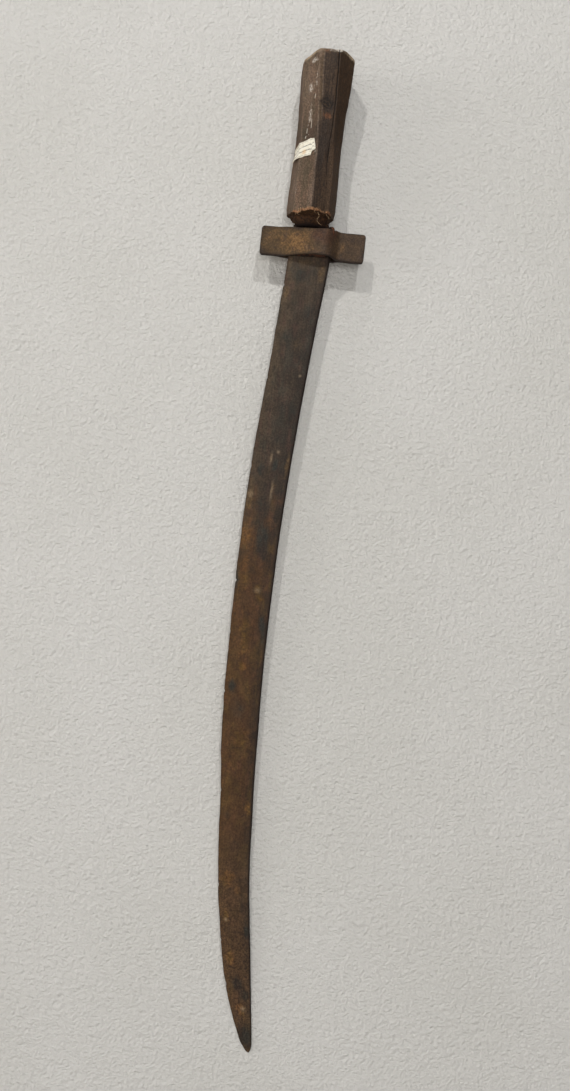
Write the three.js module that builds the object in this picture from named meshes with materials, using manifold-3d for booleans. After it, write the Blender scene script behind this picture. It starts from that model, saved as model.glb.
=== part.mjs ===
// A hand-forged short sword: a curved single-edged blade with a stick tang, a crossguard of two
// iron strips, and a carved eight-sided wooden grip.
//
// Millimetres. +Z runs up the grip, the blade points down, and the front face looks towards -Y.
// The sword is built about the middle of its guard: x = 0 at the guard's middle, y = 0 in the
// plane of the blade, z = 0 at the guard's underside. The last section moves it so that the
// origin is where a peg carries it, on the underside of the guard's left arm.

import * as THREE from "three";
import { mergeVertices } from "three/addons/utils/BufferGeometryUtils.js";
import Module from "manifold-3d";

const wasm = await Module();
wasm.setup();

// ---------------------------------------------------------------- driving dimensions

const GAP = 0.3; // kept between pieces that touch

// Blade. Each station is [x, z] on the spine and [x, z] on the cutting edge, from hilt to tip.
const BLADE_STATIONS = [
  { spine: [12.5, 23], edge: [-15.0, 23] },
  { spine: [13.4, 0], edge: [-16.4, 0] },
  { spine: [5.6, -90], edge: [-22.4, -90] },
  { spine: [-0.4, -180], edge: [-28.2, -180] },
  { spine: [-2.3, -265], edge: [-29.1, -262] },
  { spine: [-1.3, -336], edge: [-27.7, -336] },
  { spine: [0.3, -384], edge: [-23.4, -384] },
  { spine: [4.4, -450], edge: [-18.4, -450] },
  { spine: [12.8, -520], edge: [-7.0, -518] },
  { spine: [17.9, -562], edge: [7.1, -560] },
  { spine: [18.4, -570.5], edge: [12.8, -570.5] },
  { spine: [17.2, -574], edge: [15.4, -573.8] },
];
const BLADE_STEPS_PER_STATION = 5;
const SPINE_THICK_HILT = 4.4;
const SPINE_THICK_TIP = 1.8;
const BEVEL_THICK_SHARE = 0.68; // thickness where the cutting bevel starts, against the spine
const EDGE_THICK = 0.5;
const BEVEL_WIDTH = 4.5;
const SPINE_CHAMFER = 1.1;
const POINT_STARTS_AT = 0.6; // the bevel narrows where the blade is under this share of its width

// Tang: [z, middle x, half width, thickness], from the blade's shoulders to its end.
const TANG_STATIONS = [
  [23, -3.8, 8.0, 3.6],
  [60, -3.4, 6.4, 3.2],
  [112, -2.9, 3.6, 2.4],
];
const TANG_CORNER = 2; // how far in from its edge the tang is at nearly full thickness
const TANG_CORNER_SHARE = 0.9;
const TANG_EDGE_SHARE = 0.8;
const TANG_CHAMFER = 0.5;

// Crossguard: two strips face to face, which open round the blade.
const GUARD_SPAN = 74;
const GUARD_HEIGHT = 20;
const STRIP_THICK = 2.1;
const BULGE_LEFT = -24; // where the strips start to leave each other
const BULGE_CREST = 9;
const BULGE_RIGHT = 18;
const BULGE_RISE_FRONT = 8.2;
const BULGE_RISE_BACK = 6.6;
const BULGE_POWER = 1.2; // 1 is a quarter sine, more makes the foot of the bulge softer
const BULGE_STEP = 1.5;
const PACKING_LEFT = -11.5;
const PACKING_RIGHT = 10.5;
const PACKING_INSET = 0.8; // how far the packing sits inside the guard's faces

// Grip: [z, distance from the axis to a ridge], from the guard end to the pommel end.
const GRIP_STATIONS = [
  [28, 16.8],
  [34, 17.3],
  [46, 17.2],
  [62, 16.8],
  [80, 16.4],
  [98, 16.9],
  [112, 18.0],
  [126, 19.1],
  [134, 19.4],
  [138, 18.6],
];
const GRIP_SIDES = 8;
const GRIP_BOTTOM = 28;
const GRIP_TOP = 138;
const GRIP_AXIS_BOTTOM = -3.9; // x of the grip's axis at its two ends
const GRIP_AXIS_TOP = -2.6;
const GRIP_TWIST = -15; // degrees that the ridges turn from bottom to top
const GRIP_END_SLOPE = 0.08; // the pommel end is cut a little out of square
const GRIP_SLOPE_FROM = 118;

// Socket burnt up the grip: [z, half width, half depth].
const SOCKET_STATIONS = [
  [27, 11.8, 6.6],
  [31, 11.0, 6.0],
  [44, 9.6, 4.2],
  [116, 5.2, 2.8],
];
const SOCKET_FLAT_SHARE = 0.55; // of each side, between its burnt-off corners
const PITCH_BOTTOM = 30;
const PITCH_TOP = 96;

// Paper label, stuck round two facets on the left of the grip.
const LABEL_BOTTOM = 63.5;
const LABEL_TOP = 78;
const LABEL_THICK = 0.3;
const LABEL_FIRST_CORNER = 6; // the front ridge
const LABEL_START_SHARE = 0.06; // of the first facet that the label leaves free
const LABEL_END_SHARE = 0.8; // of the second facet that it covers

const PEG_X = -26; // where a peg carries the left arm, from the guard's middle

// ---------------------------------------------------------------- geometry helpers

// A closed body through rings of [x, y, z] points. The rings run upwards, and each one is
// listed anticlockwise as seen from above.
function loft(rings) {
  const count = rings[0].length;
  const positions = rings.flat(2);
  const index = [];
  for (let i = 0; i + 1 < rings.length; i++) {
    for (let j = 0; j < count; j++) {
      const k = (j + 1) % count;
      const low = i * count;
      const high = low + count;
      index.push(low + j, low + k, high + k);
      index.push(low + j, high + k, high + j);
    }
  }
  const outline = rings[0].map(([x, y]) => new THREE.Vector2(x, y));
  const top = (rings.length - 1) * count;
  for (const [a, b, c] of THREE.ShapeUtils.triangulateShape(outline, [])) {
    index.push(a, c, b);
    index.push(top + a, top + b, top + c);
  }
  const geometry = new THREE.BufferGeometry();
  geometry.setAttribute("position", new THREE.Float32BufferAttribute(positions, 3));
  geometry.setIndex(index);
  return geometry;
}

// The outline's points, extruded up Z from z = bottom to z = top.
function prism(points, bottom, top) {
  const shape = new THREE.Shape(points);
  const settings = { depth: top - bottom, bevelEnabled: false };
  return new THREE.ExtrudeGeometry(shape, settings).translate(0, 0, bottom);
}

function solidOf(geometry) {
  const bare = geometry.clone();
  bare.deleteAttribute("normal");
  bare.deleteAttribute("uv");
  const merged = mergeVertices(bare, 1e-4);
  const vertProperties = merged.getAttribute("position").array;
  const triVerts = new Uint32Array(merged.index.array);
  return new wasm.Manifold(new wasm.Mesh({ numProp: 3, vertProperties, triVerts }));
}

// The first geometry with the second one cut out of it.
function cut(geometry, tool) {
  const mesh = solidOf(geometry).subtract(solidOf(tool)).getMesh();
  const made = new THREE.BufferGeometry();
  made.setAttribute("position", new THREE.BufferAttribute(mesh.vertProperties, 3));
  made.setIndex(new THREE.BufferAttribute(mesh.triVerts, 1));
  return made;
}

function mix(a, b, share) {
  return a + (b - a) * share;
}

// Linear reading of a table whose rows are [z, value, value, ...], sorted by z.
function readTable(rows, z) {
  const last = rows.length - 2;
  const found = rows.findIndex((row, i) => i <= last && z <= rows[i + 1][0]);
  const i = found < 0 ? last : found;
  const share = (z - rows[i][0]) / (rows[i + 1][0] - rows[i][0]);
  return rows[i].slice(1).map((value, n) => mix(value, rows[i + 1][n + 1], share));
}

// ---------------------------------------------------------------- blade and tang

// The blade's section between a point on the spine and a point on the cutting edge.
function bladeRing(spine, edge, spineThick, bevelThick, edgeThick, bevel, chamfer) {
  const width = spine.distanceTo(edge);
  const at = (fromEdge, thick) => {
    const point = edge.clone().lerp(spine, fromEdge / width);
    return [point.x, thick / 2, point.y];
  };
  const spineFace = spineThick - chamfer;
  return [
    at(width, -spineFace),
    at(width, spineFace),
    at(width - chamfer, spineThick),
    at(bevel, bevelThick),
    at(0, edgeThick),
    at(0, -edgeThick),
    at(bevel, -bevelThick),
    at(width - chamfer, -spineThick),
  ];
}

function bladeRings() {
  const spine = new THREE.SplineCurve(
    BLADE_STATIONS.map((station) => new THREE.Vector2(...station.spine)),
  );
  const edge = new THREE.SplineCurve(
    BLADE_STATIONS.map((station) => new THREE.Vector2(...station.edge)),
  );
  const tipZ = BLADE_STATIONS.at(-1).spine[1];
  const steps = (BLADE_STATIONS.length - 1) * BLADE_STEPS_PER_STATION;
  const fullWidth = spine.getPoint(0).distanceTo(edge.getPoint(0));
  const rings = [];
  for (let i = steps; i >= 0; i--) {
    const s = spine.getPoint(i / steps);
    const e = edge.getPoint(i / steps);
    const down = THREE.MathUtils.clamp(s.y / tipZ, 0, 1);
    const thick = mix(SPINE_THICK_HILT, SPINE_THICK_TIP, down);
    const narrow = Math.min(1, s.distanceTo(e) / (POINT_STARTS_AT * fullWidth));
    rings.push(
      bladeRing(
        s,
        e,
        thick,
        mix(EDGE_THICK, thick * BEVEL_THICK_SHARE, narrow),
        EDGE_THICK,
        BEVEL_WIDTH * narrow,
        SPINE_CHAMFER * Math.sqrt(narrow) * (thick / SPINE_THICK_HILT),
      ),
    );
  }
  return rings;
}

function tangRing(z, grow) {
  const [middle, half, thick] = readTable(TANG_STATIONS, z);
  const spine = new THREE.Vector2(middle + half + grow, z);
  const edge = new THREE.Vector2(middle - half - grow, z);
  const full = thick + 2 * grow;
  const corner = full * TANG_CORNER_SHARE;
  return bladeRing(spine, edge, full, corner, full * TANG_EDGE_SHARE, TANG_CORNER, TANG_CHAMFER);
}

function bladeGeometry() {
  const tang = TANG_STATIONS.map(([z]) => tangRing(z, 0));
  return loft([...bladeRings(), ...tang]);
}

// ---------------------------------------------------------------- crossguard

// How far a strip stands away from the other one at x.
function bulge(x, rise) {
  if (x <= BULGE_LEFT || x >= BULGE_RIGHT) return 0;
  const foot = x < BULGE_CREST ? BULGE_LEFT : BULGE_RIGHT;
  const share = (x - foot) / (BULGE_CREST - foot);
  return rise * Math.sin((Math.PI / 2) * share) ** BULGE_POWER;
}

// The line along the middle of a strip's thickness, from the left end to the right end.
function stripLine(rise) {
  const xs = [-GUARD_SPAN / 2];
  for (let x = BULGE_LEFT; x <= BULGE_RIGHT; x += BULGE_STEP) xs.push(x);
  xs.push(GUARD_SPAN / 2);
  return xs.map((x) => new THREE.Vector2(x, (GAP + STRIP_THICK) / 2 + bulge(x, rise)));
}

// A copy of the line moved sideways, outwards from the blade where distance is positive.
function offsetLine(line, distance) {
  return line.map((point, i) => {
    const before = line[Math.max(i - 1, 0)];
    const after = line[Math.min(i + 1, line.length - 1)];
    const along = after.clone().sub(before).normalize();
    return new THREE.Vector2(point.x - along.y * distance, point.y + along.x * distance);
  });
}

// side is -1 for the front strip and 1 for the back one.
function stripGeometry(rise, side) {
  const line = stripLine(rise);
  const outer = offsetLine(line, STRIP_THICK / 2);
  const inner = offsetLine(line, -STRIP_THICK / 2).reverse();
  const outline = [...outer, ...inner].map((p) => new THREE.Vector2(p.x, side * p.y));
  return prism(outline, 0, GUARD_HEIGHT);
}

function packingGeometry(rise, side) {
  const roof = offsetLine(stripLine(rise), -STRIP_THICK / 2 - GAP);
  const kept = roof.filter((p) => p.x > PACKING_LEFT && p.x < PACKING_RIGHT);
  const floor = SPINE_THICK_HILT / 2 + GAP;
  const outline = [
    new THREE.Vector2(kept[0].x, floor),
    ...kept,
    new THREE.Vector2(kept.at(-1).x, floor),
  ].map((p) => new THREE.Vector2(p.x, side * p.y));
  return prism(outline, PACKING_INSET, GUARD_HEIGHT - PACKING_INSET);
}

// ---------------------------------------------------------------- grip, bedding and label

function gripShare(z) {
  return (z - GRIP_BOTTOM) / (GRIP_TOP - GRIP_BOTTOM);
}

function gripAxisX(z) {
  return mix(GRIP_AXIS_BOTTOM, GRIP_AXIS_TOP, gripShare(z));
}

// One corner of the grip's section at height z, pushed out by grow.
function gripCorner(corner, z, grow) {
  const turn = (360 / GRIP_SIDES) * corner + GRIP_TWIST * gripShare(z);
  const angle = THREE.MathUtils.degToRad(turn);
  const radius = readTable(GRIP_STATIONS, z)[0] + grow / Math.cos(Math.PI / GRIP_SIDES);
  const x = radius * Math.cos(angle);
  const slope = GRIP_END_SLOPE * Math.max(0, (z - GRIP_SLOPE_FROM) / (GRIP_TOP - GRIP_SLOPE_FROM));
  return [gripAxisX(z) + x, radius * Math.sin(angle), z + slope * x];
}

function gripRing(z) {
  return Array.from({ length: GRIP_SIDES }, (_, corner) => gripCorner(corner, z, 0));
}

function socketRing(z, shrink) {
  const [width, depth] = readTable(SOCKET_STATIONS, z).map((half) => half - shrink);
  return Array.from({ length: 8 }, (_, i) => {
    const right = [0, 1, 6, 7].includes(i) ? 1 : -1;
    const back = i < 4 ? 1 : -1;
    const onSide = [0, 3, 4, 7].includes(i);
    const x = right * width * (onSide ? 1 : SOCKET_FLAT_SHARE);
    const y = back * depth * (onSide ? SOCKET_FLAT_SHARE : 1);
    return [gripAxisX(z) + x, y, z];
  });
}

function gripGeometry() {
  const body = loft(GRIP_STATIONS.map(([z]) => gripRing(z)));
  const socket = loft(SOCKET_STATIONS.map(([z]) => socketRing(z, 0)));
  return cut(body, socket);
}

// The pitch that beds the tang in its socket, open at both ends.
function pitchGeometry() {
  const past = 1; // the cutting tool runs past both ends
  const outer = [PITCH_BOTTOM, SOCKET_STATIONS[1][0], SOCKET_STATIONS[2][0], PITCH_TOP];
  const inner = [PITCH_BOTTOM - past, TANG_STATIONS[1][0], PITCH_TOP + past];
  return cut(
    loft(outer.map((z) => socketRing(z, GAP))),
    loft(inner.map((z) => tangRing(z, GAP))),
  );
}

// The label's section at height z: out along the wood, and back on its outer face.
function labelRing(z) {
  const face = (grow) => {
    const corners = [0, 1, 2].map((n) => gripCorner(LABEL_FIRST_CORNER - n, z, grow));
    const between = (a, b, share) => a.map((value, i) => mix(value, b[i], share));
    return [
      between(corners[0], corners[1], LABEL_START_SHARE),
      corners[1],
      between(corners[1], corners[2], LABEL_END_SHARE),
    ];
  };
  return [...face(GAP), ...face(GAP + LABEL_THICK).reverse()];
}

function labelGeometry() {
  return loft([LABEL_BOTTOM, LABEL_TOP].map(labelRing));
}

// ---------------------------------------------------------------- assembly

const forgedIron = new THREE.MeshStandardMaterial({
  color: 0x51412f,
  roughness: 0.62,
  metalness: 0.55,
});
const guardIron = new THREE.MeshStandardMaterial({
  color: 0x6a5338,
  roughness: 0.66,
  metalness: 0.5,
});
const rustyIron = new THREE.MeshStandardMaterial({
  color: 0x5a3220,
  roughness: 0.9,
  metalness: 0.15,
});
const carvedWood = new THREE.MeshStandardMaterial({
  color: 0x513a2c,
  roughness: 0.6,
  metalness: 0,
});
const pitch = new THREE.MeshStandardMaterial({
  color: 0x1f1611,
  roughness: 0.8,
  metalness: 0,
});
const paper = new THREE.MeshStandardMaterial({
  color: 0xddd3bd,
  roughness: 0.9,
  metalness: 0,
});

function piece(name, geometry, material) {
  const mesh = new THREE.Mesh(geometry, material);
  mesh.name = name;
  return mesh;
}

const sword = new THREE.Group();
sword.add(
  piece("blade", bladeGeometry(), forgedIron),
  piece("guard_front_strip", stripGeometry(BULGE_RISE_FRONT, -1), guardIron),
  piece("guard_back_strip", stripGeometry(BULGE_RISE_BACK, 1), guardIron),
  piece("packing_front", packingGeometry(BULGE_RISE_FRONT, -1), rustyIron),
  piece("packing_back", packingGeometry(BULGE_RISE_BACK, 1), rustyIron),
  piece("grip", gripGeometry(), carvedWood),
  piece("tang_pitch", pitchGeometry(), pitch),
  piece("paper_label", labelGeometry(), paper),
);

// The origin goes to the middle of the front strip's thickness, above the peg.
sword.position.set(-PEG_X, (GAP + STRIP_THICK) / 2, 0);

const group = new THREE.Group();
group.add(sword);

export default group;
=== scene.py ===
"""The looks of a hand-forged curved short sword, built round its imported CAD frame.

Every piece starts from its CAD node: rays on the node give the shape, and the code adds what
the forge, the knife and the years did to it. Lengths in this file are millimetres unless a
name ends in _m; MM turns them into Blender's metres.
"""

import math

import bpy
import numpy as np
from mathutils import Matrix, Vector
from mathutils.bvhtree import BVHTree


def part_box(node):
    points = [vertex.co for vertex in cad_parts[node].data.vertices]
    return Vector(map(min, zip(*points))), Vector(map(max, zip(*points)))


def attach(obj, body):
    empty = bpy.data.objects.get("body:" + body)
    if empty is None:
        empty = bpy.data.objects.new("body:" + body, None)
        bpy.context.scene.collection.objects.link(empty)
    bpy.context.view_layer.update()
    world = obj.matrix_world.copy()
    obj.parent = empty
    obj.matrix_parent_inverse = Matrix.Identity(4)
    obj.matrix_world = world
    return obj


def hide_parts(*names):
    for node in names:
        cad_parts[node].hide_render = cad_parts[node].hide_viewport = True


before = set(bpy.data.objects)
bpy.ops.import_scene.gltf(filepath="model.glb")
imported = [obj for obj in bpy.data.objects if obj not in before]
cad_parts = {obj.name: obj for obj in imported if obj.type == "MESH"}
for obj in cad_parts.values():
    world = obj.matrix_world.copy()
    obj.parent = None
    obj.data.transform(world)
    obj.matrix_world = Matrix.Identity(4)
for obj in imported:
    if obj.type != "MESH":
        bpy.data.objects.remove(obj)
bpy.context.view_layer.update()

MM = 0.001
FAR = 50.0  # how far outside a node a ray starts

# ------------------------------------------------------------------ the frame's places


def corners(node):
    """A node's low and high corner in millimetres."""
    return [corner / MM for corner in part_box(node)]


strip_low, strip_high = corners("guard_front_strip")
blade_low, blade_high = corners("blade")
grip_low, grip_high = corners("grip")

GUARD_X = (strip_low.x + strip_high.x) / 2
MID_Y = (blade_low.y + blade_high.y) / 2
GUARD_BOTTOM = strip_low.z
GUARD_TOP = strip_high.z
BLADE_LENGTH = GUARD_BOTTOM - blade_low.z
GRIP_LENGTH = grip_high.z - grip_low.z


class Cad:
    """Rays on one CAD node, in millimetres."""

    def __init__(self, node):
        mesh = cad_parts[node].data
        points = [vertex.co / MM for vertex in mesh.vertices]
        self.tree = BVHTree.FromPolygons(points, [face.vertices for face in mesh.polygons])
        self.low, self.high = corners(node)

    def hit(self, start, direction):
        place = self.tree.ray_cast(Vector(start), Vector(direction))[0]
        return None if place is None else np.array(place)

    def sides(self, z):
        """x of the node's left and right side at height z."""
        left = self.hit((self.low.x - FAR, MID_Y, z), (1, 0, 0))
        right = self.hit((self.high.x + FAR, MID_Y, z), (-1, 0, 0))
        return left[0], right[0]

    def depths(self, across, z):
        """y of the node's front and of its back, at height z and each x in across."""
        front = [self.hit((x, self.low.y - FAR, z), (0, 1, 0))[1] for x in across]
        back = [self.hit((x, self.high.y + FAR, z), (0, -1, 0))[1] for x in across]
        return np.array(front), np.array(back)


# ------------------------------------------------------------------ numbers that vary


def lattice(cells, seed):
    """A repeatable random number from 0 to 1 for each whole-number cell."""
    x, y, z = (cells[..., i].astype(np.int64) for i in range(3))
    mixed = (x * 374761393 + y * 668265263 + z * 974634777 + seed * 1274126177) & 0xFFFFFFFF
    mixed = ((mixed ^ (mixed >> 13)) * 1103515245) & 0xFFFFFFFF
    mixed = ((mixed ^ (mixed >> 16)) * 374761393) & 0xFFFFFFFF
    return (mixed ^ (mixed >> 15)) / 0xFFFFFFFF


def noise(points, size, seed=0):
    """Smooth noise from -1 to 1; size is the width of a lump, one number or one per axis."""
    scaled = np.asarray(points, float) / np.asarray(size, float)
    cell = np.floor(scaled)
    part = scaled - cell
    part = part * part * (3 - 2 * part)
    total = 0.0
    for corner in np.ndindex(2, 2, 2):
        share = np.prod(np.where(corner, part, 1 - part), axis=-1)
        total = total + share * lattice(cell + corner, seed)
    return total * 2 - 1


def rough(points, size, seed=0, octaves=3):
    """Noise with finer and finer lumps on it."""
    size = np.asarray(size, float)
    return sum(noise(points, size / 2**i, seed + 17 * i) / 2**i for i in range(octaves))


def smooth(low, high, value):
    """0 below low, 1 above high, and an S-curve between them."""
    share = np.clip((value - low) / (high - low), 0, 1)
    return share * share * (3 - 2 * share)


def hump(distance, width):
    """1 where distance is 0, fading out over about width."""
    return np.exp(-((distance / width) ** 2))


def quarter_round(distance, radius):
    """Height of a rounded edge, from 0 at the edge to 1 at radius from it."""
    return np.sqrt(1 - (1 - np.clip(distance / radius, 0, 1)) ** 2)


def read(stations, at):
    """Reads a list of (place, value) at other places."""
    places, values = zip(*stations)
    return np.interp(at, places, values)


def xyz(x, y, z):
    """Points from grids or single numbers."""
    return np.stack(np.broadcast_arrays(x, y, z), -1)


def patches(spots, first, second):
    """Soft spots: each is (first, second, first radius, second radius, strength)."""
    return sum(
        strength * np.exp(-(((first - a) / ra) ** 2) - ((second - b) / rb) ** 2)
        for a, b, ra, rb, strength in spots
    )


# ------------------------------------------------------------------ meshes


def add_object(name, data):
    made = bpy.data.objects.new(name, data)
    bpy.context.collection.objects.link(made)
    return made


def loft(name, rings, values=None, sharp=40):
    """A closed mesh through rings of points. rings is an array (rings, points, 3), with the
    rings running up and each one anticlockwise from above. values are numbers per point, kept
    as attributes for the material."""
    count, around = rings.shape[:2]
    points = np.vstack([rings.reshape(-1, 3), rings[0].mean(0), rings[-1].mean(0)])
    j = np.arange(around)
    k = (j + 1) % around
    top = (count - 1) * around
    faces = []
    for low in range(0, top, around):
        high = low + around
        faces += np.stack([low + j, low + k, high + k, high + j], 1).tolist()
    first_cap, last_cap = count * around, count * around + 1
    faces += [(first_cap, b, a) for a, b in zip(j.tolist(), k.tolist())]
    faces += [(last_cap, top + a, top + b) for a, b in zip(j.tolist(), k.tolist())]
    mesh = bpy.data.meshes.new(name)
    mesh.from_pydata((points * MM).tolist(), [], faces)
    for key, grid in (values or {}).items():
        flat = np.asarray(grid, float).reshape(-1)
        ends = [flat[:around].mean(), flat[-around:].mean()]
        layer = mesh.attributes.new(key, "FLOAT", "POINT")
        layer.data.foreach_set("value", np.concatenate([flat, ends]).astype(np.float32))
    mesh.shade_smooth()
    mesh.set_sharp_from_angle(angle=math.radians(sharp))
    return add_object(name, mesh)


def place(piece, material, slot, *nodes):
    """Gives a piece its material and its body, and hides the CAD nodes that it stands for. slot is
    not used.
    """
    piece.data.materials.append(material)
    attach(piece, "root")
    if nodes:
        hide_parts(*nodes)


# ------------------------------------------------------------------ shader nodes


def tone(red, green, blue):
    """A colour from its usual 0 to 255 values, made linear for a shader."""
    linear = [
        c / 12.92 if c <= 0.04045 else ((c + 0.055) / 1.055) ** 2.4
        for c in (red / 255, green / 255, blue / 255)
    ]
    return (*linear, 1.0)


class Shader:
    """Short names for building one material's nodes. An input given as a name reads the mesh
    attribute of that name, and a colour is a socket or (red, green, blue) from 0 to 255."""

    def __init__(self, name):
        self.material = bpy.data.materials.new(name)
        self.material.use_nodes = True
        self.tree = self.material.node_tree
        self.tree.nodes.clear()
        self.place = self.node("TexCoord").outputs["Object"]
        self.colour = None

    def node(self, kind, inputs=None, **settings):
        made = self.tree.nodes.new("ShaderNode" + kind)
        for key, value in settings.items():
            setattr(made, key, value)
        for key, value in (inputs or {}).items():
            if isinstance(value, str):
                value = self.node("Attribute", attribute_name=value).outputs["Fac"]
            if isinstance(value, bpy.types.NodeSocket):
                self.tree.links.new(value, made.inputs[key])
            else:
                made.inputs[key].default_value = value
        return made

    def noise(self, size, detail=4.0, roughness=0.55, seed=0.0):
        """Noise from 0 to 1 whose lumps are about size millimetres, one number per axis."""
        size = size if isinstance(size, tuple) else (size, size, size)
        scale = tuple(1 / (MM * s) for s in size)
        shift = (seed, seed * 1.7, seed * 0.6)
        moved = self.node("Mapping", {"Vector": self.place, "Location": shift, "Scale": scale})
        inputs = {"Vector": moved.outputs["Vector"], "Scale": 1.0}
        inputs.update({"Detail": detail, "Roughness": roughness})
        return self.node("TexNoise", inputs).outputs["Fac"]

    def math(self, operation, a, b=0.0, clamp=False):
        made = self.node("Math", {0: a, 1: b}, operation=operation, use_clamp=clamp)
        return made.outputs["Value"]

    def times(self, a, b, clamp=False):
        return self.math("MULTIPLY", a, b, clamp)

    def plus(self, a, b, clamp=False):
        return self.math("ADD", a, b, clamp)

    def average(self, a, b):
        return self.plus(self.times(a, 0.5), self.times(b, 0.5))

    def ramp(self, value, low, high, start=0.0, end=1.0):
        """start up to low, end from high, and smooth between them."""
        inputs = {"Value": value, "From Min": low, "From Max": high, "To Min": start, "To Max": end}
        made = self.node("MapRange", inputs, interpolation_type="SMOOTHSTEP")
        return made.outputs["Result"]

    def mix(self, share, a, b, blend="MIX"):
        a, b = (tone(*colour) if isinstance(colour, tuple) else colour for colour in (a, b))
        made = self.node("Mix", {0: share, 6: a, 7: b}, data_type="RGBA", blend_type=blend)
        return made.outputs[2]

    def varied(self, noise, low, high, spread=0.12):
        """The colour so far made darker and lighter by a noise: low and high are the factors."""
        factor = self.ramp(noise, 0.5 - spread, 0.5 + spread, low, high)
        return self.mix(1.0, self.colour, factor, "MULTIPLY")

    def paint(self, share, colour):
        """Lays a colour over the colour so far."""
        self.colour = self.mix(share, self.colour, colour)

    def shade(self, noise, low, high):
        self.colour = self.varied(noise, low, high)

    def bump(self, height, depth):
        """Relief from height, in shares of depth millimetres."""
        made = self.node("Bump", {"Strength": 1.0, "Distance": depth * MM, "Height": height})
        return made.outputs["Normal"]

    def end(self, shader):
        self.node("OutputMaterial", {"Surface": shader.outputs[0]})
        return self.material

    def finish(self, roughness, height, depth, specular=0.25):
        """Ends the material with its painted surface."""
        inputs = {"Base Color": self.colour, "Roughness": roughness, "Specular IOR Level": specular}
        inputs["Normal"] = self.bump(height, depth)
        return self.end(self.node("BsdfPrincipled", inputs))


# ------------------------------------------------------------------ camera, stage and lights

# The sword hangs a little crooked on a wall, with its tip nearer the wall than its guard.
ROLL = math.radians(6.2)
LEAN = math.radians(1.5)
GUARD_OFF_WALL = 16.0
CAMERA_OFF_WALL = 610.0
CAMERA_LENS = 27.6
GUARD_RIGHT_OF_VIEW = 18.5  # the guard's middle against the middle of the view
GUARD_ABOVE_VIEW = 203.3
WALL_REACH = (-900, 900, -460, 1100)  # left, right, low and high, from the middle of the view
FLOOR_BELOW_TIP = 85
FLOOR_REACH_M = (-4.0, 4.0, -4.0, 4.0)
DRUM_SIDES = 36
DRUM_RADIUS_M = 3.6
DRUM_TOP_M = 4.0
# Lights: name, distances right, off the wall and up, width in metres, watts, colour.
LIGHTS = [
    ("softbox", 0, 2200, 0, 0.7, 11.0, (1.0, 0.995, 0.985)),
    ("window", -2300, 620, 250, 1.3, 18, (1.0, 0.985, 0.96)),
    ("lamp", -680, 1700, 1730, 0.05, 15, (1.0, 0.985, 0.96)),
    ("fill", 470, 1700, 1560, 0.05, 12, (0.97, 0.985, 1.0)),
    ("rear", -600, -1900, 900, 1.4, 16, (1.0, 1.0, 1.0)),
]


def wall_axes():
    """The wall's right, into-the-wall and up directions, in the row frame."""
    lean = Matrix.Rotation(LEAN, 3, "X")
    roll = Matrix.Rotation(ROLL, 3, "Y")
    turned = (roll @ lean).transposed()
    return [turned @ Vector(axis) for axis in ((1, 0, 0), (0, 1, 0), (0, 0, 1))]


RIGHT, INTO, UP = wall_axes()
GUARD_MIDDLE = Vector((GUARD_X, MID_Y, GUARD_BOTTOM))


def on_wall(right, off, up):
    """A place in metres, from distances in millimetres along the wall and off it, counted from
    the middle of the view."""
    guard = RIGHT * GUARD_RIGHT_OF_VIEW - INTO * GUARD_OFF_WALL + UP * GUARD_ABOVE_VIEW
    return (GUARD_MIDDLE - guard + RIGHT * right - INTO * off + UP * up) * MM


def look(obj, target):
    direction = target - obj.location
    obj.rotation_euler = direction.to_track_quat("-Z", "Y").to_euler()


def make_camera():
    data = bpy.data.cameras.new("camera")
    data.lens = CAMERA_LENS
    data.sensor_width = 36.0
    data.clip_start = 0.01
    camera = add_object("camera", data)
    turn = Matrix((RIGHT, UP, -INTO)).transposed()
    camera.matrix_world = Matrix.Translation(on_wall(0, CAMERA_OFF_WALL, 0)) @ turn.to_4x4()
    bpy.context.scene.camera = camera


def add_stage(name, points, faces, material, only_seen=True):
    """A stage piece. One that is only seen casts no shadow and adds no light."""
    mesh = bpy.data.meshes.new(name)
    mesh.from_pydata(points, [], faces)
    mesh.materials.append(material)
    made = add_object(name, mesh)
    if only_seen:
        made.visible_diffuse = made.visible_glossy = made.visible_shadow = False
    return made


def wall_material():
    """Painted plaster, seen only from its front so that it never hides the sword."""
    s = Shader("wall_paint")
    lumps = s.noise((5.2, 3.7, 3.7), detail=4.0, roughness=0.65)
    orange_peel = s.noise(2.1, detail=2.0, seed=3.0)
    height = s.plus(lumps, s.times(orange_peel, 0.75))
    shade = s.ramp(s.noise(160.0, detail=2.0, seed=7.0), 0.3, 0.7)
    colour = s.mix(shade, (213, 210, 204), (218, 215, 210))
    inputs = {"Base Color": colour, "Roughness": 0.7, "Normal": s.bump(height, 1.9)}
    paint = s.node("BsdfPrincipled", inputs)
    clear = s.node("BsdfTransparent")
    behind = s.node("NewGeometry").outputs["Backfacing"]
    return s.end(s.node("MixShader", {0: behind, 1: paint.outputs[0], 2: clear.outputs[0]}))


def floor_material():
    s = Shader("floor_paint")
    shade = s.ramp(s.noise(220.0, detail=3.0), 0.3, 0.7)
    s.colour = s.mix(shade, (222, 219, 213), (228, 225, 220))
    return s.finish(0.8, s.noise(3.0), depth=0.05)


def backdrop_material():
    s = Shader("backdrop_paper")
    return s.end(s.node("Emission", {"Color": tone(206, 206, 203), "Strength": 1.0}))


def rectangle(x_low, x_high, y_low, y_high):
    return [(x_low, y_low), (x_high, y_low), (x_high, y_high), (x_low, y_high)]


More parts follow.
